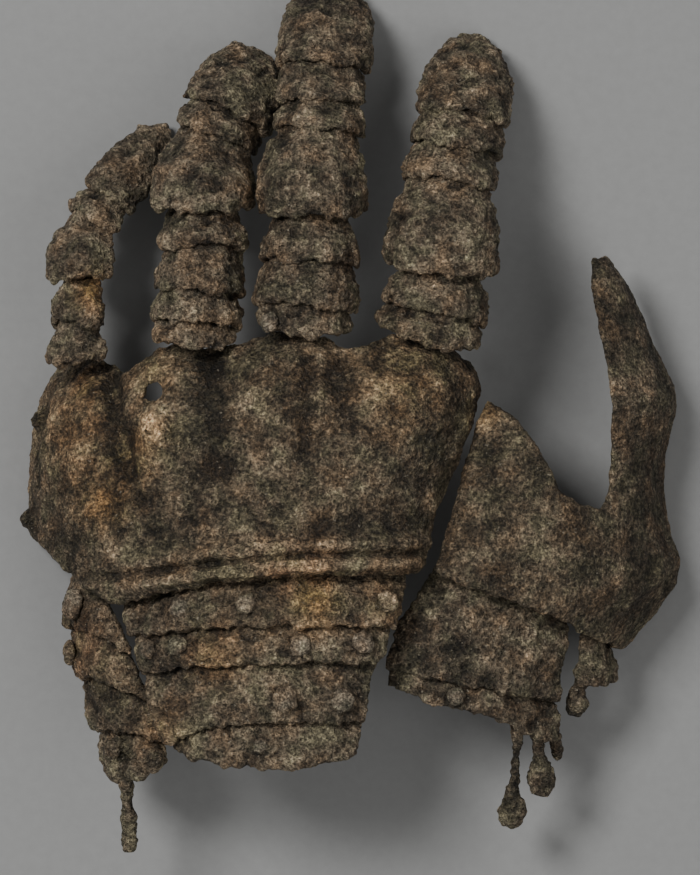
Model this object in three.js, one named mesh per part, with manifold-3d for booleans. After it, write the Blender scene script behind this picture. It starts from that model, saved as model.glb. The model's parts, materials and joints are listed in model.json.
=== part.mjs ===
// An armoured gauntlet for the left hand, in iron plates that have long lain in the ground.
// It lies palm down: +Z is up, +Y runs towards the fingertips and +X towards the thumb.
// Lengths are millimetres. The origin is on the floor, under the middle of the whole glove.
//
// Every plate is a thin sheet bent over the hand. Each one overlaps its neighbour on the wrist
// side, so its near edge lies on top and its far edge is tucked under the next plate.

import * as THREE from "three";
import { mergeVertices } from "three/addons/utils/BufferGeometryUtils.js";
import Module from "manifold-3d";

const wasm = await Module();
wasm.setup();

const FINGER_WALL = 1.8; // iron sheet with the crust that has grown on it
const PLATE_WALL = 2.4;
const GAP = 0.4; // clear distance between neighbouring pieces
const FINGER_LAP = 2.8; // how far the covered edge of a finger lame lies below the next one
const PLATE_LAP = 3.5; // and that of a plate of the hand, wrist or thumb
const COVER = 3; // length that is tucked under the next plate
const SQUARENESS = 0.85; // 1 is a round arch, and less is a boxier one
const RAGGED = 0.7; // ins and outs of a corroded edge
const LEAST_LENGTH = 8; // a plate dips to its far edge over this length or more
const TALL = 200; // more than the glove's height, for what cuts in plan

const { degToRad, lerp, clamp } = THREE.MathUtils;

// ---------------------------------------------------------------- the form of the hand
// In these tables a row is a section across the hand, and y is where along it.

// Fingers: x is the middle of the finger, base the height of its two edges, half its half
// width, rise its arch, and roll how far it leans to the little finger's side, in degrees.
const LITTLE = [
  { y: 14, x: -73.0, base: 25.0, half: 8.6, rise: 8.6, roll: 42 },
  { y: 30, x: -72.0, base: 26.0, half: 8.2, rise: 8.2, roll: 45 },
  { y: 42, x: -71.0, base: 25.0, half: 7.6, rise: 8.4, roll: 48 },
  { y: 54, x: -70.0, base: 22.0, half: 8.2, rise: 8.6, roll: 48 },
  { y: 63, x: -65.5, base: 17.0, half: 8.0, rise: 8.0, roll: 44 },
  { y: 72, x: -59.0, base: 11.0, half: 7.4, rise: 7.6, roll: 34 },
  { y: 84, x: -50.5, base: 3.5, half: 6.6, rise: 7.4, roll: 22 },
];
const RING = [
  { y: 22, x: -42.0, base: 37.0, half: 12.0, rise: 12.0, roll: 6 },
  { y: 36, x: -40.8, base: 36.5, half: 11.6, rise: 12.5, roll: 6 },
  { y: 50, x: -39.6, base: 34.5, half: 11.6, rise: 13.5, roll: 4 },
  { y: 64, x: -39.8, base: 31.0, half: 11.6, rise: 14.5, roll: 3 },
  { y: 80, x: -37.0, base: 23.0, half: 11.6, rise: 14.0, roll: 0 },
  { y: 92, x: -31.4, base: 14.0, half: 11.5, rise: 13.0, roll: 0 },
  { y: 107, x: -27.0, base: 0.0, half: 10.0, rise: 12.0, roll: 0 },
];
const MIDDLE = [
  { y: 25, x: -13.2, base: 38.0, half: 13.2, rise: 12.0, roll: 0 },
  { y: 40, x: -11.4, base: 37.5, half: 13.4, rise: 13.0, roll: 0 },
  { y: 56, x: -10.5, base: 36.0, half: 12.6, rise: 14.5, roll: 0 },
  { y: 70, x: -10.0, base: 33.5, half: 12.4, rise: 15.0, roll: 0 },
  { y: 84, x: -8.4, base: 27.5, half: 12.0, rise: 14.5, roll: 0 },
  { y: 98, x: -7.6, base: 19.0, half: 11.8, rise: 13.5, roll: 0 },
  { y: 110, x: -6.2, base: 10.0, half: 11.8, rise: 13.0, roll: 0 },
  { y: 124.5, x: -5.2, base: 0.0, half: 11.4, rise: 12.5, roll: 0 },
];
const INDEX = [
  { y: 22, x: 19.4, base: 34.0, half: 15.4, rise: 13.0, roll: -4 },
  { y: 36, x: 22.8, base: 34.5, half: 14.0, rise: 13.5, roll: -4 },
  { y: 50, x: 24.6, base: 33.5, half: 13.0, rise: 14.5, roll: -3 },
  { y: 66, x: 26.2, base: 29.5, half: 12.8, rise: 15.0, roll: -2 },
  { y: 82, x: 29.4, base: 20.5, half: 12.2, rise: 14.0, roll: 0 },
  { y: 96, x: 31.8, base: 10.5, half: 11.3, rise: 13.0, roll: 0 },
  { y: 110, x: 34.0, base: 0.0, half: 10.0, rise: 12.0, roll: 0 },
];

// Lames from the knuckle's plate to the tip, each with the y of its near edge on the finger's
// back. bulge swells a plate over a joint, and sweep draws the ends of its near edge back
// towards the wrist, or forward where it is negative.
const FINGERS = {
  little: {
    form: LITTLE,
    end: 84.5,
    lames: [
      { name: "lame_2", near: 19.5, bulge: 0.6, sweep: -2.5 },
      { name: "lame_1", near: 31.0, bulge: 0.3, sweep: 1.0 },
      { name: "knuckle", near: 42.5, bulge: 2.6, sweep: -1.5 },
      { name: "distal_lame", near: 58.5, bulge: 0.4, sweep: 0.5 },
      { name: "tip", near: 65.0, bulge: 0.9, sweep: 0.6 },
    ],
  },
  ring: {
    form: RING,
    end: 107,
    lames: [
      { name: "lame_4", near: 24.0, bulge: 0.5, sweep: -4.0 },
      { name: "lame_3", near: 31.0, bulge: 0.9, sweep: -0.5 },
      { name: "lame_2", near: 39.5, bulge: 0.5, sweep: 0.3 },
      { name: "lame_1", near: 51.5, bulge: 0.4, sweep: 0.0 },
      { name: "knuckle", near: 60.5, bulge: 2.6, sweep: -2.3 },
      { name: "distal_lame", near: 81.5, bulge: 0.4, sweep: 0.0 },
      { name: "tip", near: 89.0, bulge: 1.0, sweep: 1.8 },
    ],
  },
  middle: {
    form: MIDDLE,
    end: 124.5,
    lames: [
      { name: "lame_3", near: 27.5, bulge: 0.5, sweep: -4.0 },
      { name: "lame_2", near: 35.5, bulge: 0.9, sweep: 0.5 },
      { name: "lame_1", near: 47.5, bulge: 0.4, sweep: 0.5 },
      { name: "knuckle", near: 59.0, bulge: 2.7, sweep: -2.5 },
      { name: "distal_lame_2", near: 83.5, bulge: 0.3, sweep: 1.0 },
      { name: "distal_lame_1", near: 91.5, bulge: 0.4, sweep: 0.5 },
      { name: "tip", near: 102.0, bulge: 0.8, sweep: 1.5 },
    ],
  },
  index: {
    form: INDEX,
    end: 110,
    lames: [
      { name: "lame_2", near: 25.0, bulge: 0.6, sweep: -4.0 },
      { name: "lame_1", near: 34.0, bulge: 0.6, sweep: -1.0 },
      { name: "knuckle", near: 44.0, bulge: 2.6, sweep: -2.0 },
      { name: "distal_lame_2", near: 69.5, bulge: 0.4, sweep: 1.0 },
      { name: "distal_lame_1", near: 79.0, bulge: 0.5, sweep: 1.0 },
      { name: "tip", near: 88.5, bulge: 0.8, sweep: 1.5 },
    ],
  },
};

// Plates of the hand: the crown of each section, and where its left and right ends come down.
const HAND = [
  { y: -46, left: -84, leftZ: -2, crownX: -22, crownZ: 58, right: 15.6, rightZ: 46 },
  { y: -20, left: -87, leftZ: -2, crownX: -18, crownZ: 57, right: 22.8, rightZ: 38 },
  { y: 4, left: -85, leftZ: -2, crownX: -15, crownZ: 52, right: 31.6, rightZ: 31 },
  { y: 16, left: -82, leftZ: -2, crownX: -14, crownZ: 48, right: 35.4, rightZ: 27 },
  { y: 30, left: -79, leftZ: -2, crownX: -13, crownZ: 43, right: 35, rightZ: 23 },
];
const WRIST = [
  { y: -88, left: -44, leftZ: 50, crownX: -21, crownZ: 55, right: 1, rightZ: 50 },
  { y: -76, left: -54, leftZ: 46, crownX: -23, crownZ: 56, right: 4, rightZ: 50 },
  { y: -60, left: -57, leftZ: 44, crownX: -23, crownZ: 57, right: 8.5, rightZ: 48 },
  { y: -50, left: -61, leftZ: 41, crownX: -22, crownZ: 57, right: 13, rightZ: 46.5 },
  { y: -36, left: -66, leftZ: 37, crownX: -22, crownZ: 56, right: 17, rightZ: 44 },
];
const ULNAR = [
  { y: -84, left: -69, leftZ: 20, crownX: -50, crownZ: 40, right: -50, rightZ: 40 },
  { y: -68, left: -74, leftZ: 16, crownX: -55, crownZ: 39, right: -55, rightZ: 39 },
  { y: -54, left: -78, leftZ: 13, crownX: -61, crownZ: 37, right: -61, rightZ: 37 },
  { y: -38, left: -78, leftZ: 12, crownX: -68, crownZ: 34, right: -68, rightZ: 34 },
];
const THUMB = [
  { y: -58, left: 17, leftZ: 42, crownX: 31, crownZ: 45, right: 75, rightZ: -2 },
  { y: -48, left: 19, leftZ: 42, crownX: 32, crownZ: 46, right: 82, rightZ: -2 },
  { y: -38, left: 21.4, leftZ: 42, crownX: 34, crownZ: 46, right: 91, rightZ: -2 },
  { y: -24, left: 26, leftZ: 39, crownX: 41, crownZ: 45, right: 87, rightZ: -2 },
  { y: -6, left: 31.2, leftZ: 36, crownX: 51, crownZ: 41, right: 86, rightZ: 0 },
  { y: 11, left: 37.5, leftZ: 34, crownX: 61, crownZ: 36, right: 89.5, rightZ: 1 },
  { y: 25, left: 52, leftZ: 29, crownX: 66, crownZ: 31, right: 83, rightZ: 4 },
  { y: 42, left: 58, leftZ: 25, crownX: 66, crownZ: 26, right: 75.5, rightZ: 9 },
  { y: 49, left: 60, leftZ: 22, crownX: 66, crownZ: 24, right: 70, rightZ: 14 },
];
const THUMB_CUFF = [
  { y: -84, left: 16, leftZ: 35, crownX: 26, crownZ: 38, right: 56, rightZ: 25 },
  { y: -66, left: 9.6, leftZ: 36, crownX: 24, crownZ: 40, right: 57, rightZ: 27 },
  { y: -52, left: 12.2, leftZ: 37, crownX: 27, crownZ: 41, right: 61, rightZ: 30 },
  { y: -34, left: 21, leftZ: 38, crownX: 34, crownZ: 42, right: 61, rightZ: 33 },
];
const THUMB_SIDE = [
  { y: -70, left: 62, leftZ: 26, crownX: 62, crownZ: 26, right: 72, rightZ: 12 },
  { y: -50, left: 63, leftZ: 29, crownX: 63, crownZ: 29, right: 76, rightZ: 12 },
];

// Where the plates end on the wrist side: for each x, the y of every near edge.
const WRIST_EDGES = [
  { x: -84, hand: -29, first: -52, second: -66, third: -86, fourth: -80 },
  { x: -66, hand: -44, first: -53.5, second: -64, third: -84, fourth: -80 },
  { x: -52, hand: -42, first: -52, second: -62.5, third: -82, fourth: -82 },
  { x: -38, hand: -39, first: -50.8, second: -60.8, third: -77.5, fourth: -86.8 },
  { x: -13, hand: -36.8, first: -49.6, second: -60, third: -75.8, fourth: -88 },
  { x: 17, hand: -36.2, first: -51.4, second: -59.8, third: -77, fourth: -81 },
];
const ULNAR_EDGES = [
  { x: -84, plate: -30, first: -50, second: -63, third: -80, corner: -91 },
  { x: -66, plate: -44, first: -54, second: -66, third: -79, corner: -91.5 },
  { x: -48, plate: -56, first: -66, second: -74, third: -82, corner: -87 },
];
const THUMB_EDGES = [
  { x: 10, plate: -30, first: -62, second: -67, side: -66 },
  { x: 24, plate: -36.8, first: -65.5, second: -71.5, side: -66 },
  { x: 40, plate: -43, first: -68, second: -75.5, side: -66 },
  { x: 52, plate: -47.4, first: -70.5, second: -81.5, side: -66 },
  { x: 62, plate: -51.5, first: -70.5, second: -82, side: -68 },
  { x: 76, plate: -57.5, first: -69, second: -80, side: -66 },
  { x: 91, plate: -46, first: -60, second: -80, side: -66 },
];

// Knuckles raised on the hand's plate. edge is how far forward the plate reaches over each,
// and wide and long are its spread across and along the hand.
const KNUCKLES = [
  { x: -74, y: -4, height: 4.5, wide: 11, long: 20, edge: 22 },
  { x: -46, y: 6, height: 4.0, wide: 11, long: 16, edge: 26.5 },
  { x: -17, y: 10, height: 5.0, wide: 13, long: 17, edge: 30 },
  { x: 16, y: 8, height: 6.0, wide: 14, long: 18, edge: 28.5 },
];
const SCALLOP = 6; // depth of the front edge between two knuckles
const FRONT_FALL = { depth: 3, length: 6 }; // the front edge dips to pass under the fingers
const HAND_ROWS = [0, 0.02, 0.04, 0.062, 0.09, 0.117, 0.147, 0.23, 0.35, 0.48, 0.61, 0.74, 0.87, 1];
// Raised bands along the wrist edge, by their distance from it.
const BANDS = [
  { above: 2.6, height: 1.5, wide: 1.3 },
  { above: 7.6, height: 1.2, wide: 1.5 },
];

// The gap between the thumb's lobe, on the left, and its tongue: [x, y] round its rim.
const THUMB_NOTCH = [
  [37, 60], [33, 11], [38, 9.5], [43, 6.5], [48.5, 0.3], [52.5, -6.5], [56.5, -14.5], [62, -18.6],
  [67.5, -19], [70.4, -14], [70.6, 0], [70.3, 14], [68, 26], [66, 37], [65, 46], [66, 60],
];
// A hole rusted through the hand's plate, and the crack that runs from it.
const RUST_HOLE = [
  [-55.6, 12.2], [-54.6, 9.6], [-52.4, 9.9], [-50.4, 10.8], [-50.2, 13], [-51.6, 15.2], [-53.8, 14.4],
];
const CRACK = [
  [-54.8, 11.4], [-57.6, 9.6], [-61, 6.4], [-57.2, 8.6], [-54, 10.4],
];

// Rivets: where each one stands in plan, and the radius of its head.
const RIVETS = [
  { plate: "wrist_lame_1", x: -45.3, y: -45.9, radius: 2.7 },
  { plate: "wrist_lame_1", x: -27.6, y: -44.6, radius: 2.8 },
  { plate: "wrist_lame_1", x: 9.6, y: -44.2, radius: 3.1 },
  { plate: "wrist_lame_2", x: -53.6, y: -57.0, radius: 2.6 },
  { plate: "wrist_lame_2", x: -45.6, y: -55.9, radius: 2.9 },
  { plate: "wrist_lame_2", x: -13.4, y: -55.6, radius: 2.9 },
  { plate: "wrist_lame_2", x: 3.2, y: -55.0, radius: 3.1 },
  { plate: "wrist_lame_3", x: -17.4, y: -69.7, radius: 3.5 },
  { plate: "wrist_lame_3", x: -2.2, y: -70.2, radius: 3.3 },
  { plate: "wrist_lame_4", x: -23.9, y: -82.4, radius: 1.9 },
  { plate: "ulnar_lame_1", x: -73.7, y: -45.4, radius: 4.6 },
  { plate: "ulnar_lame_2", x: -75.0, y: -58.4, radius: 3.4 },
  { plate: "thumb_cuff_lame_2", x: 28.4, y: -69.8, radius: 2.6 },
  { plate: "middle_lame_3", x: -21.0, y: 30.8, radius: 2.7 },
];
const SHANK = 1.1; // radius of a rivet below its head
const TAIL = 0.8; // thickness of the burr that holds it underneath
const SEAT_LIFT = 0.035; // a wide head stands further off, because its plate curves away below

// Knobs of rust that have fused with the plates: a ball on the surface, and its radius.
const KNOBS = [
  { plate: "metacarpal_plate", x: -87.0, y: -22.2, z: 11, radius: 3.2 },
  { plate: "metacarpal_plate", x: -84.4, y: 4.6, z: 14, radius: 2.8 },
  { plate: "cuff_corner", x: -63.4, y: -84.2, z: 32, radius: 3.4 },
  { plate: "cuff_corner", x: -53.6, y: -85.6, z: 40, radius: 3.4 },
  { plate: "cuff_corner", x: -57.6, y: -89.4, z: 37, radius: 2.9 },
  { plate: "cuff_corner", x: -62.4, y: -89.6, z: 33, radius: 2.7 },
];
// Loose ends fused to the cuff's edge: a stem from one point to another, which swells near
// its far end.
const STEMS = [
  { plate: "cuff_corner", from: [-60, -87, 35], to: [-59.6, -112, 29], shank: 1.9, head: 2.3 },
  { plate: "thumb_cuff_lame_2", from: [45.6, -76, 30.6], to: [43.6, -106, 20], shank: 1.5, head: 3.9 },
  { plate: "thumb_cuff_lame_2", from: [50.5, -78, 28], to: [52.5, -97, 19], shank: 1.7, head: 3.7 },
  { plate: "thumb_cuff_lame_2", from: [54.4, -72, 26], to: [56.6, -87, 17], shank: 1.5, head: 1.9 },
  { plate: "thumb_side_lame", from: [63, -62, 26], to: [61, -76, 19], shank: 2.0, head: 3.0 },
];
// A low boss on the hand's plate beside the ring finger's knuckle.
const BOSS = { x: -52.3, y: 1.9, radius: 5, height: 1.0 };

// ---------------------------------------------------------------- tables and sheets

// The row of a table at a place between its rows. Each column follows a smooth curve through
// the rows, and goes straight on past the first and the last.
function rowAt(rows, key, place) {
  const last = rows.length - 1;
  const inside = clamp(place, rows[0][key], rows[last][key]);
  const next = rows.findIndex((row) => row[key] > inside);
  const i = next < 0 ? last - 1 : next - 1;
  const [p, q] = [rows[i], rows[i + 1]];
  const span = q[key] - p[key];
  const t = (inside - p[key]) / span;
  const slope = (j, column) => {
    const [a, b] = [rows[Math.max(j - 1, 0)], rows[Math.min(j + 1, last)]];
    return (b[column] - a[column]) / (b[key] - a[key]);
  };
  const row = {};
  for (const column of Object.keys(p)) {
    const [m, n] = [slope(i, column), slope(i + 1, column)];
    const ends = p[column] * (1 + 2 * t) * (1 - t) ** 2 + q[column] * t * t * (3 - 2 * t);
    const turns = m * span * t * (1 - t) ** 2 - n * span * t * t * (1 - t);
    row[column] = ends + turns + (place - inside) * (place < inside ? m : n);
  }
  return row;
}

// The small ins and outs of a worn edge, between -1 and 1.
function worn(place, seed) {
  const waves = [0.5 * Math.sin(place + seed), 0.3 * Math.sin(2.3 * place + 2.7 * seed)];
  return waves[0] + waves[1] + 0.2 * Math.sin(4.1 * place + 5 * seed);
}

// A closed plate. face(u, v, depth) is its outside at depth 0 and its inside one wall below,
// with u to the right and v towards the fingertips. A row may draw in to a point.
function sheet(face, columns, rows, wall) {
  const positions = [];
  for (const depth of [0, wall])
    for (let j = 0; j <= rows; j++)
      for (let i = 0; i <= columns; i++) positions.push(...face(i / columns, j / rows, depth).toArray());
  const triangles = [];
  const quad = (a, b, c, d) => triangles.push(a, b, c, a, c, d);
  const at = (i, j, side) => (side * (rows + 1) + j) * (columns + 1) + i;
  for (let j = 0; j < rows; j++)
    for (let i = 0; i < columns; i++) {
      quad(at(i, j, 0), at(i + 1, j, 0), at(i + 1, j + 1, 0), at(i, j + 1, 0));
      quad(at(i, j, 1), at(i, j + 1, 1), at(i + 1, j + 1, 1), at(i + 1, j, 1));
    }
  for (let i = 0; i < columns; i++) {
    quad(at(i, 0, 1), at(i + 1, 0, 1), at(i + 1, 0, 0), at(i, 0, 0));
    quad(at(i, rows, 0), at(i + 1, rows, 0), at(i + 1, rows, 1), at(i, rows, 1));
  }
  for (let j = 0; j < rows; j++) {
    quad(at(0, j, 0), at(0, j + 1, 0), at(0, j + 1, 1), at(0, j, 1));
    quad(at(columns, j, 1), at(columns, j + 1, 1), at(columns, j + 1, 0), at(columns, j, 0));
  }
  return new THREE.BufferGeometry()
    .setAttribute("position", new THREE.BufferAttribute(new Float32Array(positions), 3))
    .setIndex(triangles);
}

// The way a face looks out at u, v.
function outward(face, u, v) {
  const step = 0.004;
  const [a, b] = [clamp(u, step, 1 - step), clamp(v, step, 1 - step)];
  const across = face(a + step, b, 0).sub(face(a - step, b, 0));
  const along = face(a, b + step, 0).sub(face(a, b - step, 0));
  return across.cross(along).normalize();
}

// The u and v where a face passes over x, y in plan, found by a few Newton steps.
function placeOn(face, x, y) {
  let [u, v] = [0.5, 0.5];
  const step = 0.01;
  for (let turn = 0; turn < 12; turn++) {
    const here = face(u, v, 0);
    const across = face(u + step, v, 0).sub(here).divideScalar(step);
    const along = face(u, v + step, 0).sub(here).divideScalar(step);
    const [dx, dy] = [x - here.x, y - here.y];
    const area = across.x * along.y - across.y * along.x;
    u = clamp(u + (dx * along.y - dy * along.x) / area, 0.02, 0.98);
    v = clamp(v + (across.x * dy - across.y * dx) / area, 0.02, 0.98);
  }
  return [u, v];
}

// ---------------------------------------------------------------- cutting and joining

// One closed mesh with its shared corners merged, and no empty triangles.
function welded(geometry) {
  geometry.deleteAttribute("normal");
  geometry.deleteAttribute("uv");
  const merged = mergeVertices(geometry, 1e-3);
  const corners = merged.index.array;
  const kept = [];
  for (let i = 0; i < corners.length; i += 3) {
    const [a, b, c] = corners.slice(i, i + 3);
    if (a !== b && b !== c && c !== a) kept.push(a, b, c);
  }
  return merged.setIndex(kept);
}

function solidOf(geometry) {
  const mesh = welded(geometry);
  const vertProperties = mesh.attributes.position.array;
  const triVerts = new Uint32Array(mesh.index.array);
  return new wasm.Manifold(new wasm.Mesh({ numProp: 3, vertProperties, triVerts }));
}

function geometryOf(solid) {
  const { vertProperties, triVerts } = solid.getMesh();
  return new THREE.BufferGeometry()
    .setAttribute("position", new THREE.BufferAttribute(vertProperties, 3))
    .setIndex(new THREE.BufferAttribute(triVerts, 1));
}

// An upright prism on [x, y] corners in plan.
function prism(corners) {
  const shape = new THREE.Shape(corners.map(([x, y]) => new THREE.Vector2(x, y)));
  return solidOf(new THREE.ExtrudeGeometry(shape, { depth: TALL, bevelEnabled: false }));
}

const UNDER_FLOOR = solidOf(new THREE.BoxGeometry(400, 400, TALL).translate(0, 0, -TALL / 2));

// ---------------------------------------------------------------- the plates' faces

// A lame that lies on a finger, from its near edge to the next lame, and tucked under it.
function fingerFace(form, lame, next, seed) {
  return (u, v, depth) => {
    const angle = lerp(-Math.PI / 2, Math.PI / 2, u);
    const near = lame.near - lame.sweep * (1 - Math.cos(angle)) + RAGGED * worn(3 * angle, seed);
    const y = lerp(near, next + COVER, v);
    const t = Math.max(0, (y - lame.near) / (next - lame.near));
    const swell = lame.bulge * Math.sin(Math.PI * (0.2 + 0.8 * Math.min(t, 1)));
    return onFinger(form, y, angle, swell - FINGER_LAP * t * t - depth, 1);
  };
}

// A fingertip's plate, which closes in a round end on the floor.
function tipFace(form, tip, end, seed) {
  const straight = 0.4; // share of its length before it rounds in
  return (u, v, depth) => {
    const angle = lerp(-Math.PI / 2, Math.PI / 2, u);
    const along = Math.sin((v * Math.PI) / 2);
    const near = tip.near - tip.sweep * (1 - Math.cos(angle)) + RAGGED * worn(3 * angle, seed);
    const y = lerp(near, end - depth, along);
    const closing = Math.max(0, (along - straight) / (1 - straight));
    return onFinger(form, y, angle, tip.bulge - depth, v === 1 ? 0 : Math.sqrt(1 - closing ** 2));
  };
}

// A point on a finger's arch, at an angle from its crown and a distance out from its form.
function onFinger(form, y, angle, out, scale) {
  const row = rowAt(form, "y", y);
  const heading = Math.atan(rowAt(form, "y", y + 1).x - row.x);
  const roll = degToRad(row.roll);
  const side = scale * (row.half + out) * Math.sign(angle) * Math.abs(Math.sin(angle)) ** SQUARENESS;
  const up = scale * (row.rise + out) * Math.max(0, Math.cos(angle)) ** SQUARENESS;
  const across = side * Math.cos(roll) - up * Math.sin(roll);
  const above = up * Math.cos(roll) + side * Math.sin(roll);
  return new THREE.Vector3(
    row.x + across * Math.cos(heading),
    y - across * Math.sin(heading),
    row.base + above,
  );
}

// A point on a section of the hand, at an angle from its crown. limits are the angles at the
// two ends of the section, where its arch is cut off.
function onArch(row, angle, limits) {
  if (angle === 0) return { x: row.crownX, z: row.crownZ };
  const side = angle < 0 ? { x: row.left, z: row.leftZ } : { x: row.right, z: row.rightZ };
  const limit = angle < 0 ? limits.left : limits.right;
  const out = Math.sin(Math.abs(angle)) / Math.sin(limit);
  const down = (1 - Math.cos(angle)) / (1 - Math.cos(limit));
  return { x: lerp(row.crownX, side.x, out), z: lerp(row.crownZ, side.z, down) };
}

const evenly = (v) => v;
const flat = () => 0;

// A plate of the hand, between a near edge and a far edge given as functions of x. share says
// how far along it is at v, and lap and cover are for the edge that lies below the next plate.
function plateFace({ form, wrap, near, far, lap = PLATE_LAP, cover = COVER, share = evenly, relief = flat }) {
  const limits = { left: degToRad(wrap.left), right: degToRad(wrap.right) };
  const base = (u, v) => {
    const angle = lerp(-limits.left, limits.right, u);
    let point = { x: form[0].crownX };
    let y = 0;
    for (let turn = 0; turn < 4; turn++) {
      y = lerp(near(point.x), far(point.x) + cover, share(v));
      point = onArch(rowAt(form, "y", y), angle, limits);
    }
    return new THREE.Vector3(point.x, y, point.z);
  };
  return (u, v, depth) => {
    const point = base(u, v);
    const length = Math.max(LEAST_LENGTH, far(point.x) - near(point.x));
    const t = Math.max(0, 1 + (point.y - far(point.x)) / length);
    return point.addScaledVector(outward(base, u, v), relief(point) - lap * t * t - depth);
  };
}

// ---------------------------------------------------------------- pieces

const IRON = {
  plate: { color: 0x4a3d33, roughness: 0.9, metalness: 0.3 },
  lame: { color: 0x453a31, roughness: 0.9, metalness: 0.3 },
  rivet: { color: 0x62564a, roughness: 0.8, metalness: 0.4 },
};
const glove = new THREE.Group();

function addPiece(name, geometry, iron) {
  const mesh = new THREE.Mesh(welded(geometry), new THREE.MeshStandardMaterial(IRON[iron]));
  mesh.name = name;
  glove.add(mesh);
}

// A round body turned about its own axis, set at a point with that axis along a direction.
// The profile is [radius, height] pairs from the bottom to the top.
function turned(profile, sides, point, direction) {
  const rings = profile.map(([radius, height]) => new THREE.Vector2(radius, height));
  const upright = new THREE.Quaternion().setFromUnitVectors(new THREE.Vector3(0, 1, 0), direction);
  return new THREE.LatheGeometry(rings, sides).applyQuaternion(upright).translate(...point.toArray());
}

// Rivets through a plate, each in a hole of its own. Returns the plate with its holes.
function riveted(plate, face, solid, wall) {
  RIVETS.filter((rivet) => rivet.plate === plate).forEach(({ x, y, radius }, i) => {
    const [u, v] = placeOn(face, x, y);
    const out = outward(face, u, v);
    const seat = face(u, v, 0);
    const under = -wall - 2 * GAP;
    const crown = GAP + SEAT_LIFT * radius * radius;
    const hole = [[0, under - 2], [SHANK + 1.5 * GAP, under - 2], [SHANK + 1.5 * GAP, radius], [0, radius]];
    const body = [
      [0, under - TAIL], [SHANK + 0.6, under - TAIL], [SHANK + 0.6, under], [SHANK, under], [SHANK, crown],
      [radius, crown], [0.7 * radius, crown + 0.35 * radius], [0, crown + 0.45 * radius],
    ];
    solid = solid.subtract(solidOf(turned(hole, 6, seat, out)));
    addPiece(`${plate}_rivet_${i + 1}`, turned(body, 7, seat, out), "rivet");
  });
  return solid;
}

// Knobs and loose ends that have rusted to a plate and are one with it.
function encrusted(plate, solid) {
  for (const { x, y, z, radius } of KNOBS.filter((knob) => knob.plate === plate))
    solid = solid.add(solidOf(new THREE.IcosahedronGeometry(radius, 1).translate(x, y, z)));
  for (const { from, to, shank, head } of STEMS.filter((stem) => stem.plate === plate)) {
    const [start, end] = [new THREE.Vector3(...from), new THREE.Vector3(...to)];
    const length = start.distanceTo(end);
    const profile = [
      [0, 0], [shank, 0.5], [0.8 * shank, 0.4 * length], [shank, length - 3 * head],
      [head, length - 1.4 * head], [0.8 * head, length - 0.4 * head], [0, length],
    ];
    solid = solid.add(solidOf(turned(profile, 6, start, end.sub(start).normalize())));
  }
  return solid;
}

function addFingers() {
  for (const [finger, { form, end, lames }] of Object.entries(FINGERS))
    lames.forEach((lame, i) => {
      const name = `${finger}_${lame.name}`;
      const seed = finger.length + 3 * i;
      const isTip = i === lames.length - 1;
      const face = isTip ? tipFace(form, lame, end, seed) : fingerFace(form, lame, lames[i + 1].near, seed);
      const [columns, rows] = isTip ? [10, 6] : lame.name === "knuckle" ? [10, 5] : [8, 3];
      const solid = solidOf(sheet(face, columns, rows, FINGER_WALL));
      addPiece(name, geometryOf(riveted(name, face, solid, FINGER_WALL)), "lame");
    });
}

function addPlate(name, columns, rows, iron, spec, trim = (solid) => solid) {
  const face = plateFace(spec);
  const solid = trim(solidOf(sheet(face, columns, rows, PLATE_WALL))).subtract(UNDER_FLOOR);
  addPiece(name, geometryOf(riveted(name, face, encrusted(name, solid), PLATE_WALL)), iron);
}

const frontEdge = (x) => Math.max(...KNUCKLES.map((k) => k.edge - SCALLOP * ((x - k.x) / k.wide / 1.2) ** 2));
const edgeIn = (table, plate) => (x) => rowAt(table, "x", x)[plate];

// The share of the hand plate's length at v, with rows close together where the bands are.
function shareOfHand(v) {
  const place = v * (HAND_ROWS.length - 1);
  const i = Math.min(Math.floor(place), HAND_ROWS.length - 2);
  return lerp(HAND_ROWS[i], HAND_ROWS[i + 1], place - i);
}

function handRelief({ x, y }) {
  let height = 0;
  for (const k of KNUCKLES) {
    const [across, along] = [(x - k.x) / k.wide, (y - k.y) / k.long];
    height += k.height * Math.exp(-(across ** 2) - along ** 2);
  }
  for (const band of BANDS) {
    const off = y - edgeIn(WRIST_EDGES, "hand")(x) - band.above;
    height += band.height * Math.exp(-((off / band.wide) ** 2));
  }
  const fall = clamp(1 - (frontEdge(x) - y) / FRONT_FALL.length, 0, 1);
  return height - FRONT_FALL.depth * fall * fall;
}

function addHand() {
  const spec = {
    form: HAND,
    wrap: { left: 90, right: 90 },
    near: edgeIn(WRIST_EDGES, "hand"),
    far: frontEdge,
    lap: 0,
    cover: 0,
    share: shareOfHand,
    relief: handRelief,
  };
  addPlate("metacarpal_plate", 24, HAND_ROWS.length - 1, "plate", spec, (solid) => {
    const face = plateFace(spec);
    const [u, v] = placeOn(face, BOSS.x, BOSS.y);
    const { radius, height } = BOSS;
    const profile = [[0, -1], [radius, -1], [radius, 0.2], [0.8 * radius, 0.8 * height], [0, height]];
    const boss = solidOf(turned(profile, 12, face(u, v, 0), outward(face, u, v)));
    return solid.add(boss).subtract(prism(RUST_HOLE)).subtract(prism(CRACK));
  });
}

function addWrist() {
  const order = ["hand", "first", "second", "third", "fourth"];
  const wrap = { left: 50, right: 50 };
  for (let i = 1; i < order.length; i++) {
    const [near, far] = [edgeIn(WRIST_EDGES, order[i]), edgeIn(WRIST_EDGES, order[i - 1])];
    addPlate(`wrist_lame_${i}`, 11, 3, "lame", { form: WRIST, wrap, near, far });
  }
}

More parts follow.
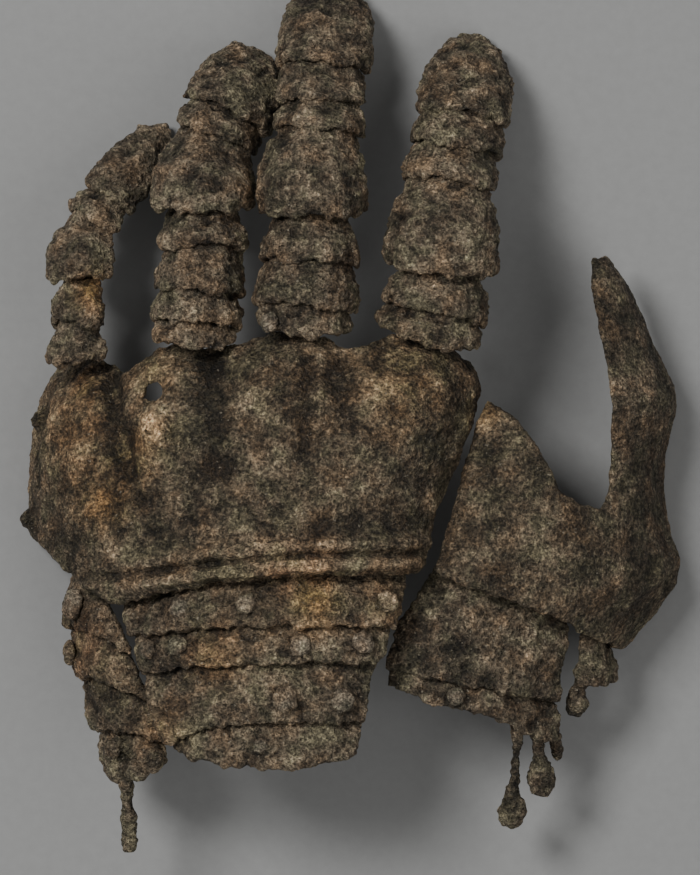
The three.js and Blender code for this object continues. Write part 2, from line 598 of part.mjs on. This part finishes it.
function addUlnarSide() {
  const order = ["plate", "first", "second", "third", "corner"];
  const names = ["", "ulnar_lame_1", "ulnar_lame_2", "ulnar_lame_3", "cuff_corner"];
  const wrap = { left: 70, right: 0 };
  for (let i = 1; i < order.length; i++) {
    const [near, far] = [edgeIn(ULNAR_EDGES, order[i]), edgeIn(ULNAR_EDGES, order[i - 1])];
    addPlate(names[i], 4, 3, "lame", { form: ULNAR, wrap, near, far });
  }
}

function addThumb() {
  const edge = (plate) => edgeIn(THUMB_EDGES, plate);
  const base = {
    form: THUMB,
    wrap: { left: 60, right: 90 },
    near: edge("plate"),
    far: () => 49,
    lap: 0,
    cover: 0,
  };
  addPlate("thumb_plate", 17, 14, "plate", base, (solid) => solid.subtract(prism(THUMB_NOTCH)));
  const cuff = { form: THUMB_CUFF, wrap: { left: 40, right: 50 } };
  addPlate("thumb_cuff_lame_1", 10, 3, "lame", { ...cuff, near: edge("first"), far: edge("plate") });
  addPlate("thumb_cuff_lame_2", 10, 2, "lame", { ...cuff, near: edge("second"), far: edge("first") });
  const side = { form: THUMB_SIDE, wrap: { left: 0, right: 60 }, near: edge("side"), far: edge("plate") };
  addPlate("thumb_side_lame", 4, 3, "lame", side);
}

addFingers();
addHand();
addWrist();
addUlnarSide();
addThumb();

const box = new THREE.Box3().setFromObject(glove);
glove.position.set(-(box.min.x + box.max.x) / 2, -(box.min.y + box.max.y) / 2, -box.min.z);

export default glove;
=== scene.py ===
"""The finish of an iron gauntlet that has lain in the ground: a thick, grainy crust of rust.

Every piece is a copy of its solid, remeshed finely, with lumps, flakes and grains raised on it.
Positions and sizes in the tables are millimetres in the frame of the solids. Colours are linear.
"""
import json
import math

import bpy
import numpy as np
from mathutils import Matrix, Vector, noise
from mathutils.bvhtree import BVHTree


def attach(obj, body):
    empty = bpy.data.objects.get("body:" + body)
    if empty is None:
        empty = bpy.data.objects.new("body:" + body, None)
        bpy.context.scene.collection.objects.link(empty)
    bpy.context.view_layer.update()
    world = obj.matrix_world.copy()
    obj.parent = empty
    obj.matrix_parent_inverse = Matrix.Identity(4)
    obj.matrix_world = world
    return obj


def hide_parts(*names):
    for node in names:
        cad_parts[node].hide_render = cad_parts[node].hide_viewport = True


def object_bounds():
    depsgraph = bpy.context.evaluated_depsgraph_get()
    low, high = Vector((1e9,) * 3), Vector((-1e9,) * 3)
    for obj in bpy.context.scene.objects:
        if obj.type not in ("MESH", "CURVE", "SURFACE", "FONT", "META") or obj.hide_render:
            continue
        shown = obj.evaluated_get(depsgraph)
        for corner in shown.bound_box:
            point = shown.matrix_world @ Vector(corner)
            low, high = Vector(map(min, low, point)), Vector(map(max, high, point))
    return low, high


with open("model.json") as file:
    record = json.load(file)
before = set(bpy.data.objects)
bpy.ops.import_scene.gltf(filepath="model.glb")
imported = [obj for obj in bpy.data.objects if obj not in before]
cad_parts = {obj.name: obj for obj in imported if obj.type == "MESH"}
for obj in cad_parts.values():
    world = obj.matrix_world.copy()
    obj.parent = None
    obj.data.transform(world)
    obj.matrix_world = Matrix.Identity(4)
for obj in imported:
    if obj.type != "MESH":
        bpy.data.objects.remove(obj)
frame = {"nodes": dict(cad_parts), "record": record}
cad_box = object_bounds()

MM = 0.001

# ------------------------------------------------------------------ the crust's relief
# How the rust lies on each kind of piece. voxel is the mesh's fineness, and smooth how often
# it is evened out first. swell is how far the crust stands off all over, lump, flake and grain
# are (height, size) of its relief, rag is how far worn edges wander, and fill how high it has
# grown beside a neighbouring piece.
CRUSTS = {
    "hand": {
        "voxel": 0.6, "smooth": 14, "swell": 0.1, "lump": (0.9, 8.0), "flake": (0.1, 4.0),
        "grain": (0.45, 1.5), "rag": 1.0, "fill": 1.0,
    },
    "thumb": {
        "voxel": 0.58, "smooth": 14, "swell": 0.1, "lump": (0.6, 8.0), "flake": (0.06, 4.0),
        "grain": (0.36, 1.4), "rag": 0.9, "fill": 0.8,
    },
    "finger": {
        "voxel": 0.5, "smooth": 9, "swell": 0.15, "lump": (0.8, 4.6), "flake": (0.5, 2.6),
        "grain": (0.5, 1.5), "rag": 1.6, "fill": 1.3,
    },
    "cuff": {
        "voxel": 0.53, "smooth": 9, "swell": 0.15, "lump": (0.8, 5.0), "flake": (0.34, 3.2),
        "grain": (0.5, 1.5), "rag": 1.2, "fill": 1.5,
    },
    "rivet": {
        "voxel": 0.36, "smooth": 8, "swell": 0.5, "lump": (0.35, 2.4), "flake": (0.05, 2.0),
        "grain": (0.3, 1.2), "rag": 0.0, "fill": 0.0,
    },
}
REACH = 3.2  # how near a neighbour has to be for the crust to grow up to it, and for the painted shade where pieces meet to begin
SMOOTHING = 0.5  # how far each smoothing step moves a point to the middle of its neighbours
SAME_POINT = 0.001  # corners of a solid closer than this are one
PAINTED_FORM_SHADING = 0.5  # how much of the bosses and ridges is painted into the iron's colour, as painted shade in grooves and dents and painted highlight on the tops, with all the crust
SEED_STEP = (7.3, 3.1, 5.7)  # how far apart two pieces' noise is, in its own units
LAYER_LENGTH = 9  # how far a layer of flakes runs before it changes
LAYER_DRIFT = 3.2  # how far it strays on its way
CRUMB_SIZE = 0.8  # the finest unevenness of the grains
CRUMB_SHARE = 0.5  # and how much it counts beside them
GRAIN_LEVEL = 0.6  # how far a grain's middle stands up, as a share of the grains' height
EDGE_SIZE = 3.6  # the length of the ins and outs of a worn edge
FADING = 0.9  # how fast the noise of lumps and edges fades at finer sizes
REFINING = 2.0  # how much finer each of its octaves is than the last
LUMP_OCTAVES = 3
EDGE_OCTAVES = 2
UPRIGHTNESS = 3  # the higher, the more ragged edges keep to what faces along the glove

HAND = "metacarpal_plate"
THUMB = "thumb_plate"

# Bosses and dents on the hand's plate: where in plan, how wide and how high.
BOSSES = [
    {"at": (-52.3, -4.4), "wide": 4.6, "height": 0.9},
    {"at": (-64.0, -10.0), "wide": 5.0, "height": -1.3},
    {"at": (-36.5, 8.0), "wide": 5.5, "height": -0.8},
    {"at": (-3.5, 8.0), "wide": 4.5, "height": -1.5},
]
# Its ridges and grooves: the points of each in plan, how wide and how high.
RIDGES = [
    {
        "wide": 1.5, "height": 1.7,
        "points": [(-70, -46), (-52, -45.2), (-38, -42.4), (-13, -40.3), (17, -39.8)],
    },
    {"wide": 1.0, "height": -0.9, "points": [(-66, -43.4), (-38, -40), (-13, -37.9), (18, -37.4)]},
    {"wide": 1.8, "height": 1.3, "points": [(-60, -41), (-38, -37.4), (-13, -35), (20, -34.2)]},
    {"wide": 2.6, "height": -2.2, "points": [(-64.5, 14), (-64, 4), (-62, -8), (-57, -22)]},
    {"wide": 2.6, "height": -0.9, "points": [(-11, 16), (-10.8, 2), (-12.4, -10)]},
    {"wide": 0.9, "height": 0.7, "points": [(-8.2, 16), (-8, 0), (-9.4, -8)]},
    {"wide": 3.6, "height": -1.2, "points": [(-36.6, 18), (-36.4, 0), (-34, -16)]},
    {"wide": 0.9, "height": 0.6, "points": [(-34, -8), (-29, -14), (-23.6, -20.4)]},
]


def kind_of(node):
    if "rivet" in node:
        return "rivet"
    if node == HAND:
        return "hand"
    if node == THUMB:
        return "thumb"
    if node.startswith(("wrist", "ulnar", "cuff", "thumb")):
        return "cuff"
    return "finger"


def noise_relief(co, normal, crust, seed):
    """The height of lumps, flakes, grains and ragged edges at each point."""
    shift = Vector([seed * step for step in SEED_STEP])
    lump_height, lump_size = crust["lump"]
    flake_height, flake_size = crust["flake"]
    grain_height, grain_size = crust["grain"]
    heights = np.empty(len(co))
    for i, (x, y, z) in enumerate(co):
        point = Vector((x, y, z))
        lump = noise.fractal(point / lump_size + shift, FADING, REFINING, LUMP_OCTAVES)
        drift = LAYER_DRIFT * noise.noise(point / LAYER_LENGTH + shift)
        layered = Vector((x / LAYER_LENGTH, (y + drift) / flake_size, z / LAYER_LENGTH))
        flake = 1 - 2 * abs(noise.noise(layered + shift))
        from_middle = noise.voronoi(point / grain_size + shift)[0][0]
        crumb = CRUMB_SHARE * noise.noise(point / CRUMB_SIZE + shift)
        grain = GRAIN_LEVEL - from_middle + crumb
        wander = noise.fractal(point / EDGE_SIZE - shift, FADING, REFINING, EDGE_OCTAVES)
        edge = abs(normal[i][1]) ** UPRIGHTNESS * wander
        heights[i] = (
            lump_height * lump
            + flake_height * flake
            + grain_height * grain
            + crust["rag"] * edge
        )
    return heights


def distance_to_line(plan, points):
    """The distance in plan from each point to a line through several points."""
    least = np.full(len(plan), np.inf)
    for start, end in zip(points, points[1:]):
        a, b = np.array(start, float), np.array(end, float)
        along = np.clip(((plan - a) @ (b - a)) / ((b - a) @ (b - a)), 0, 1)
        nearest = a + along[:, None] * (b - a)
        least = np.minimum(least, np.linalg.norm(plan - nearest, axis=1))
    return least


def facing_up(normal):
    """From 1 on all that faces up to 0 on what is upright or faces down."""
    return np.clip(2 * normal[:, 2], 0, 1)


def hand_relief(co, normal):
    """The height of the bosses, dents, ridges and grooves at each point of the hand's plate."""
    heights = np.zeros(len(co))
    plan = co[:, :2]
    for boss in BOSSES:
        off = np.linalg.norm(plan - np.array(boss["at"]), axis=1) / boss["wide"]
        steepness = 4 if boss["height"] > 0 else 2  # a boss has a flat top, a dent a round floor
        heights += boss["height"] * np.exp(-(off**steepness))
    for ridge in RIDGES:
        off = distance_to_line(plan, ridge["points"]) / ridge["wide"]
        heights += ridge["height"] * np.exp(-(off**2))
    return heights * facing_up(normal)


def nearness(node, co):
    """From 1 where a point touches another piece to 0 where it is REACH away or more."""
    vertices, faces = [], []
    for other, solid in frame["nodes"].items():
        if other != node:
            start = len(vertices)
            vertices.extend(v.co / MM for v in solid.data.vertices)
            faces.extend([start + i for i in face.vertices] for face in solid.data.polygons)
    tree = BVHTree.FromPolygons(vertices, faces)
    near = np.zeros(len(co))
    for i, point in enumerate(co):
        distance = tree.find_nearest(Vector(point), REACH)[3]
        if distance is not None:
            near[i] = 1 - distance / REACH
    return near


# ------------------------------------------------------------------ stains
# Where the rust has another colour: in plan, how wide, how strong, and its colour against
# the iron's.
STAINS = [
    {"at": (14, 9), "wide": 11, "strength": 0.8, "colour": (2.2, 1.95, 1.6)},
    {"at": (-18, 8), "wide": 11, "strength": 0.25, "colour": (1.6, 1.45, 1.3)},
    {"at": (-52.3, -4.6), "wide": 5, "strength": 1.0, "colour": (2.5, 2.35, 2.1)},
    {"at": (-53, 11), "wide": 6, "strength": 0.8, "colour": (2.1, 1.9, 1.6)},
    {"at": (-74, -6), "wide": 13, "strength": 0.8, "colour": (1.6, 1.4, 1.15)},
    {"at": (-71, 8), "wide": 5, "strength": 0.5, "colour": (1.8, 1.3, 0.8)},
    {"at": (-66, -24), "wide": 7, "strength": 0.6, "colour": (1.9, 1.5, 0.9)},
    {"at": (-58, -13), "wide": 6, "strength": 0.5, "colour": (1.5, 1.25, 0.85)},
    {"at": (-69.5, 33), "wide": 5, "strength": 0.7, "colour": (2.1, 1.4, 0.75)},
    {"at": (-9, -50), "wide": 6, "strength": 0.7, "colour": (2.2, 1.75, 1.05)},
    {"at": (-37, -65), "wide": 7, "strength": 0.6, "colour": (1.8, 1.35, 0.9)},
    {"at": (-50, -84), "wide": 6, "strength": 0.5, "colour": (1.7, 1.35, 0.95)},
    {"at": (-15, -41), "wide": 9, "strength": 0.4, "colour": (1.7, 1.25, 1.0)},
    {"at": (9.5, -51), "wide": 6, "strength": 0.7, "colour": (1.9, 1.6, 1.3)},
    {"at": (36, 1), "wide": 4, "strength": 0.9, "colour": (2.0, 1.7, 1.25)},
    {"at": (-74, -62), "wide": 9, "strength": 0.5, "colour": (1.3, 0.9, 0.65)},
    {"at": (-64, -72), "wide": 12, "strength": 0.8, "colour": (0.68, 0.64, 0.58)},
    {"at": (-26, -51), "wide": 15, "strength": 0.5, "colour": (1.5, 1.45, 1.35)},
    {"at": (-22, -74), "wide": 16, "strength": 0.5, "colour": (1.5, 1.5, 1.45)},
    {"at": (78, 2), "wide": 18, "strength": 0.6, "colour": (1.5, 1.5, 1.55)},
    {"at": (40, -24), "wide": 15, "strength": 0.4, "colour": (1.4, 1.4, 1.4)},
    {"at": (-5, 116), "wide": 12, "strength": 0.6, "colour": (0.7, 0.7, 0.7)},
    {"at": (33, 98), "wide": 12, "strength": 0.5, "colour": (0.75, 0.74, 0.72)},
]


def stain_colours(co):
    """The colour that each point's iron is multiplied by."""
    colours = np.ones((len(co), 4))
    for stain in STAINS:
        off = np.linalg.norm(co[:, :2] - np.array(stain["at"]), axis=1) / stain["wide"]
        share = stain["strength"] * np.exp(-(off**2))
        colours[:, :3] *= 1 + share[:, None] * (np.array(stain["colour"]) - 1)
    return colours


# ------------------------------------------------------------------ meshes


def arrays(mesh):
    """The vertices of a mesh in millimetres, and their normals."""
    co = np.empty(len(mesh.vertices) * 3)
    mesh.vertices.foreach_get("co", co)
    normal = np.empty(len(mesh.vertices) * 3)
    mesh.vertex_normals.foreach_get("vector", normal)
    return co.reshape(-1, 3) / MM, normal.reshape(-1, 3)


def applied(piece, kind, **settings):
    """Puts a modifier on the piece and makes its result the piece's mesh."""
    modifier = piece.modifiers.new(kind, kind)
    for key, value in settings.items():
        setattr(modifier, key, value)
    depsgraph = bpy.context.evaluated_depsgraph_get()
    mesh = bpy.data.meshes.new_from_object(piece.evaluated_get(depsgraph))
    old = piece.data
    piece.modifiers.clear()
    piece.data = mesh
    bpy.data.meshes.remove(old)


def add_values(piece, name, values):
    attribute = piece.data.attributes.new(name, "FLOAT", "POINT")
    attribute.data.foreach_set("value", values.astype(np.float32))


def add_colours(piece, name, colours):
    attribute = piece.data.attributes.new(name, "FLOAT_COLOR", "POINT")
    attribute.data.foreach_set("color", colours.astype(np.float32).ravel())


def crusted(node, seed):
    """A new piece over a solid, with the crust raised on it."""
    crust = CRUSTS[kind_of(node)]
    piece = bpy.data.objects.new(node + "_crust", frame["nodes"][node].data.copy())
    bpy.context.scene.collection.objects.link(piece)
    piece.data.materials.clear()
    applied(piece, "WELD", merge_threshold=SAME_POINT * MM)
    applied(piece, "REMESH", mode="VOXEL", voxel_size=crust["voxel"] * MM)
    applied(piece, "SMOOTH", factor=SMOOTHING, iterations=crust["smooth"])
    co, normal = arrays(piece.data)
    near = nearness(node, co)
    crumbled = noise_relief(co, normal, crust, seed)
    formed = hand_relief(co, normal) if node == HAND else np.zeros(len(co))
    grown = crust["fill"] * near**2 * facing_up(normal)
    co += normal * (crust["swell"] + crumbled + formed + grown)[:, None]
    low, high = (np.array(corner) / MM for corner in cad_box)
    co = np.clip(co, low, high)
    piece.data.vertices.foreach_set("co", (co * MM).ravel())
    piece.data.shade_smooth()
    # the relief's height, kept for painted shade in low places and painted highlight on high ones
    add_values(piece, "height", crumbled + PAINTED_FORM_SHADING * formed)
    # nearness to other pieces, kept for painted shade where pieces meet
    add_values(piece, "near", near)
    add_colours(piece, "stain", stain_colours(co))
    piece.data.update()
    return piece


# ------------------------------------------------------------------ materials

MIX_COLOURS = (6, 7)  # the places of a Mix node's two colour sockets
MIX_RESULT = 2  # and of its colour output


class Nodes:
    """The node tree of one new material, with short calls for the nodes used here."""

    def __init__(self, name):
        self.material = bpy.data.materials.new(name)
        self.material.use_nodes = True
        self.tree = self.material.node_tree
        self.shader = self.tree.nodes["Principled BSDF"]
        self.place = self.add("ShaderNodeTexCoord").outputs["Object"]

    def add(self, kind, **sockets):
        node = self.tree.nodes.new(kind)
        for name, value in sockets.items():
            self.feed(node.inputs[name], value)
        return node

    def feed(self, socket, value):
        if isinstance(value, bpy.types.NodeSocket):
            self.tree.links.new(value, socket)
        elif isinstance(value, tuple):
            socket.default_value = (*value, 1)
        else:
            socket.default_value = value

    def noise(self, size, detail, roughness=0.6):
        """Noise with features of about this size in millimetres."""
        node = self.add("ShaderNodeTexNoise", Vector=self.place, Scale=1 / (size * MM))
        self.feed(node.inputs["Detail"], detail)
        self.feed(node.inputs["Roughness"], roughness)
        return node.outputs["Fac"]

    def cells(self, size):
        """The distance from the middle of the nearest of many cells of this size."""
        node = self.add("ShaderNodeTexVoronoi", Vector=self.place, Scale=1 / (size * MM))
        return node.outputs["Distance"]

    def ramp(self, value, *stops):
        """Turns a value into a colour or a grey, through stops of (value, colour)."""
        node = self.add("ShaderNodeValToRGB", Fac=value)
        elements = node.color_ramp.elements
        while len(elements) < len(stops):
            elements.new(0.5)
        for element, (at, colour) in zip(elements, stops):
            element.position = at
            rgb = colour if isinstance(colour, tuple) else (colour, colour, colour)
            element.color = (*rgb, 1)
        return node.outputs["Color"]

    def mixed(self, a, b, factor=1.0, mode="MIX"):
        node = self.add("ShaderNodeMix")
        node.data_type = "RGBA"
        node.blend_type = mode
        self.feed(node.inputs["Factor"], factor)
        for place, colour in zip(MIX_COLOURS, (a, b)):
            self.feed(node.inputs[place], colour)
        return node.outputs[MIX_RESULT]

    def times(self, a, b):
        return self.mixed(a, b, mode="MULTIPLY")

    def attribute(self, name, output):
        node = self.add("ShaderNodeAttribute")
        node.attribute_name = name
        return node.outputs[output]

    def spread(self, value, low, high, to_low, to_high):
        """Maps the values from low to high evenly onto those from to_low to to_high."""
        node = self.add("ShaderNodeMapRange", Value=value)
        limits = {"From Min": low, "From Max": high, "To Min": to_low, "To Max": to_high}
        for name, number in limits.items():
            node.inputs[name].default_value = number
        return node.outputs["Result"]

    def bump(self, height, distance, normal=None):
        """A bump this many millimetres high, over an earlier one if there is one."""
        node = self.add("ShaderNodeBump", Height=height, Distance=distance * MM, Strength=1.0)
        if normal is not None:
            self.feed(node.inputs["Normal"], normal)
        return node.outputs["Normal"]


# The irons: the darkest and palest of each, the size of its grains and how strong its painted
# glints are.
IRON_KINDS = {
    "plate_iron": {
        "dark": (0.108, 0.082, 0.051), "light": (0.225, 0.172, 0.11),
        "grain": 1.25, "painted_glint_strength": 0.5,
    },
    "lame_iron": {
        "dark": (0.115, 0.089, 0.059), "light": (0.235, 0.184, 0.122),
        "grain": 1.3, "painted_glint_strength": 0.6,
    },
    "rivet_iron": {
        "dark": (0.27, 0.22, 0.155), "light": (0.42, 0.35, 0.255),
        "grain": 1.0, "painted_glint_strength": 0.6,
    },
}
GREEN = (0.93, 1.03, 0.96)  # the greenish grey of some hollows, against the iron's colour
RED = (1.1, 0.97, 0.88)  # and the redder rust of others
PAINTED_GLINT = (0.45, 0.39, 0.29)  # painted glints: grains painted pale as if they caught the light
BROAD_SIZE = 15  # the sizes of the patches of dark and pale iron, of hue, and of the smaller ones
HUE_SIZE = 9
PATCH_SIZE = 5
# the size of the painted glints, pale specks painted on as if grains caught the light
PAINTED_GLINT_SIZE = 1.0


def iron(name, dark, light, grain, painted_glint_strength):
    """Rusted iron: dark pits and paler grains, partly its own colour and partly painted shade and
    light; painted glints on some grains; painted shade where pieces meet; and painted shade and
    highlight by the relief's height.

    Each ramp after the first gives what the colour is multiplied by.
    """
    n = Nodes(name)
    broad = n.noise(BROAD_SIZE, 3)
    patch = n.noise(PATCH_SIZE, 4)
    crumbs = n.noise(grain, 3, 0.62)
    fine = n.noise(0.5 * grain, 2)
    cell = n.cells(0.75 * grain)
    hue = n.noise(HUE_SIZE, 3)
    painted_relief_shading = n.spread(n.attribute("height", "Fac"), -1.0, 1.4, 0.0, 1.0)
    near = n.attribute("near", "Fac")
    colour = n.ramp(broad, (0.36, dark), (0.64, light))
    colour = n.times(colour, n.ramp(hue, (0.38, GREEN), (0.5, 1.0), (0.64, RED)))
    colour = n.times(colour, n.ramp(patch, (0.36, 0.7), (0.64, 1.35)))
    # grain tone from the same noise as the bumps: darker in their pits and paler on their tops,
    # partly the crust's own colour and partly painted shade and painted light
    colour = n.times(colour, n.ramp(crumbs, (0.34, 0.42), (0.47, 0.84), (0.56, 1.2), (0.7, 2.1)))
    colour = n.times(colour, n.ramp(fine, (0.36, 0.75), (0.64, 1.25)))
    colour = n.times(colour, n.ramp(cell, (0.1, 1.1), (0.65, 0.75)))
    # painted shade in low places and painted highlight on high ones, by the relief's height
    colour = n.times(colour, n.ramp(painted_relief_shading, (0.2, 0.3), (0.45, 0.95), (0.75, 1.8)))
    # painted shade: darker where a point lies close to another piece
    colour = n.times(colour, n.ramp(near, (0.3, 1.0), (0.95, 0.3)))
    colour = n.times(colour, n.attribute("stain", "Color"))
    # painted glints: pale specks painted on some grains, as if they caught the light
    painted_glints = n.ramp(n.noise(PAINTED_GLINT_SIZE, 1, 0.5), (0.7, 0.0), (0.76, painted_glint_strength))
    colour = n.mixed(colour, PAINTED_GLINT, painted_glints)
    n.feed(n.shader.inputs["Base Color"], colour)
    n.feed(n.shader.inputs["Roughness"], n.spread(crumbs, 0.38, 0.66, 0.75, 0.36))
    n.shader.inputs["Specular IOR Level"].default_value = 0.4
    coarse = n.bump(crumbs, 2.4)
    grained = n.bump(cell, -0.8, coarse)
    n.feed(n.shader.inputs["Normal"], n.bump(fine, 0.9, grained))
    return n.material


def build_gauntlet():
    irons = {name: iron(name, **kind) for name, kind in IRON_KINDS.items()}
    slots = {part["node"]: part["material_slot"] for part in frame["record"]["subparts"]}
    for seed, node in enumerate(sorted(frame["nodes"])):
        piece = crusted(node, seed)
        piece.data.materials.append(irons[slots[node]])
        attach(piece, "root")
        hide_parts(node)


# ------------------------------------------------------------------ the studio
# Square soft lights that look at the middle of the glove: place and size in metres, and watts.
LIGHTS = {
    "key": {"place": (-0.85, 0.65, 1.5), "size": 0.6, "power": 26},
    "fill": {"place": (0.9, -0.6, 1.4), "size": 1.2, "power": 7},
}
WORLD_STRENGTH = 0.25
FLOOR_SIZE = 6  # metres
FLOOR_GREYS = ((0.28, 0.28, 0.275), (0.3, 0.3, 0.295))
FLOOR_GRAIN = 3  # size in millimetres of the paper's faint unevenness


def add_floor():
    bpy.ops.mesh.primitive_plane_add(size=FLOOR_SIZE)
    floor = bpy.context.object
    floor.name = "floor"
    dark, light = FLOOR_GREYS
    n = Nodes("floor_paper")
    paper = n.ramp(n.noise(FLOOR_GRAIN, 4), (0.3, dark), (0.7, light))
    n.feed(n.shader.inputs["Base Color"], paper)
    n.shader.inputs["Roughness"].default_value = 0.95
    floor.data.materials.append(n.material)


def add_light(name, place, size, power):
    light = bpy.data.lights.new(name, "AREA")
    light.size = size
    light.energy = power
    lamp = bpy.data.objects.new(name, light)
    lamp.location = place
    lamp.rotation_euler = (-Vector(place)).to_track_quat("-Z", "Y").to_euler()
    bpy.context.scene.collection.objects.link(lamp)


def add_world():
    world = bpy.data.worlds.new("studio")
    world.use_nodes = True
    background = world.node_tree.nodes["Background"]
    background.inputs["Color"].default_value = (1, 1, 1, 1)
    background.inputs["Strength"].default_value = WORLD_STRENGTH
    bpy.context.scene.world = world


def add_camera():
    """Straight above the back of the hand, with a long lens. Lengths are metres."""
    seen = 0.1876  # width of the picture at the height of the hand's back
    level = 0.045  # that height
    distance = 2.0
    middle = (-0.00004, -0.00625)  # what the picture is centred on
    data = bpy.data.cameras.new("camera")
    data.sensor_fit = "HORIZONTAL"
    data.angle = 2 * math.atan(seen / 2 / distance)
    data.clip_end = 10
    camera = bpy.data.objects.new("camera", data)
    camera.location = (*middle, level + distance)
    bpy.context.scene.collection.objects.link(camera)
    bpy.context.scene.camera = camera


build_gauntlet()
add_floor()
for light_name, light_facts in LIGHTS.items():
    add_light(light_name, **light_facts)
add_world()
add_camera()
